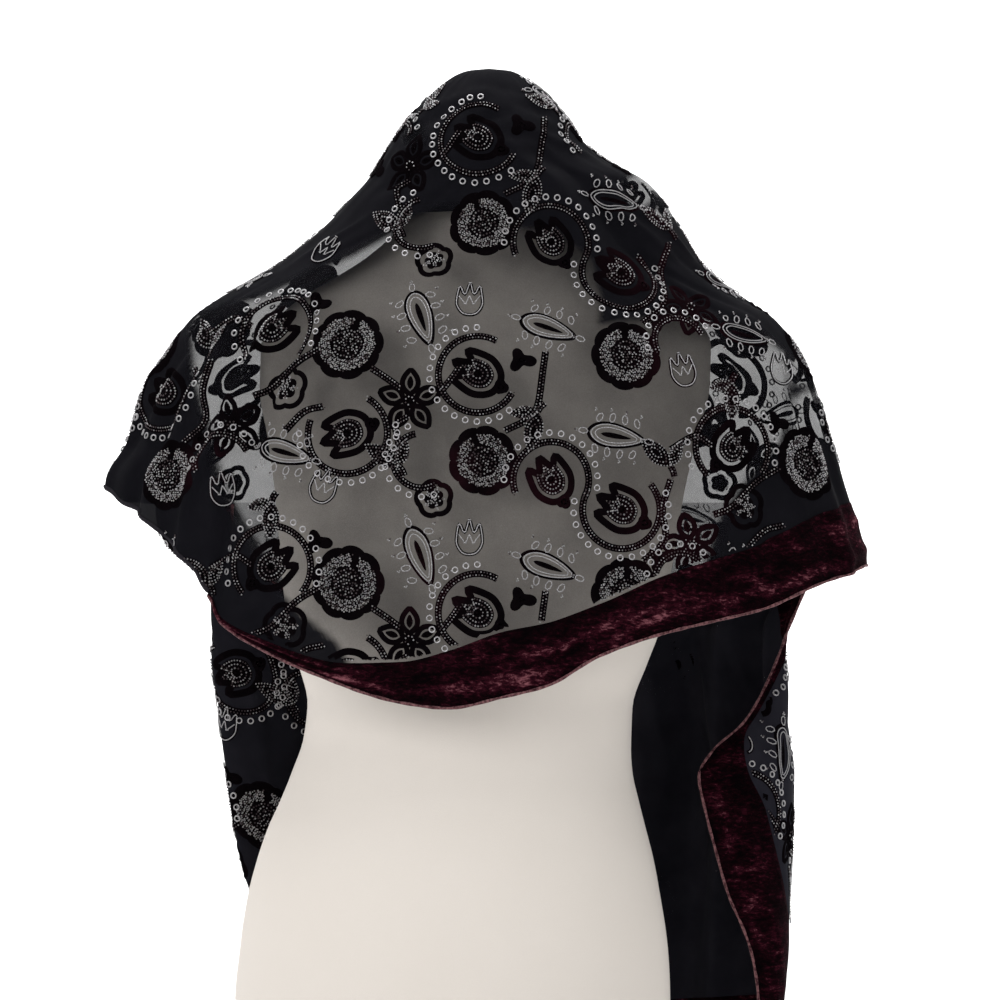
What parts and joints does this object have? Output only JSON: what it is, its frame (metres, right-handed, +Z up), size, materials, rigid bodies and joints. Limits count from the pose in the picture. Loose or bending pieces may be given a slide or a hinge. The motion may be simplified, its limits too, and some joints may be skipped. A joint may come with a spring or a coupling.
{
  "type": "velvet scarf (beaded shawl) on a limbless dress form",
  "caption": "Long black sheer shawl with beaded velvet flowers and a crushed burgundy velvet border, draped over an ivory dress form.",
  "frame": {"origin": "on the flat underside of the dress form, level with the surface that it stands on", "axes": "+Z up; the back of the form and the hem of the cape face -Y; +X is to the viewer's right from behind"},
  "size_m": [0.5692, 0.2837, 0.7837],
  "materials": {
    "form_jersey": "matt knitted jersey",
    "neck_cap": "matt black",
    "beaded_chiffon": "sheer crepe chiffon with burnout velvet",
    "burgundy_velvet": "crushed velvet"
  },
  "bodies": {
    "root": {"form_torso": "form_jersey", "form_neck": "neck_cap", "shawl_cape": "beaded_chiffon", "shawl_left_fall": "beaded_chiffon", "shawl_right_fall": "beaded_chiffon", "border_hem": "burgundy_velvet", "border_neck": "burgundy_velvet", "border_left_inner": "burgundy_velvet", "border_left_outer": "burgundy_velvet", "border_left_end": "burgundy_velvet", "border_right_inner": "burgundy_velvet", "border_right_outer": "burgundy_velvet", "border_right_end": "burgundy_velvet"}
  },
  "joints": []
}
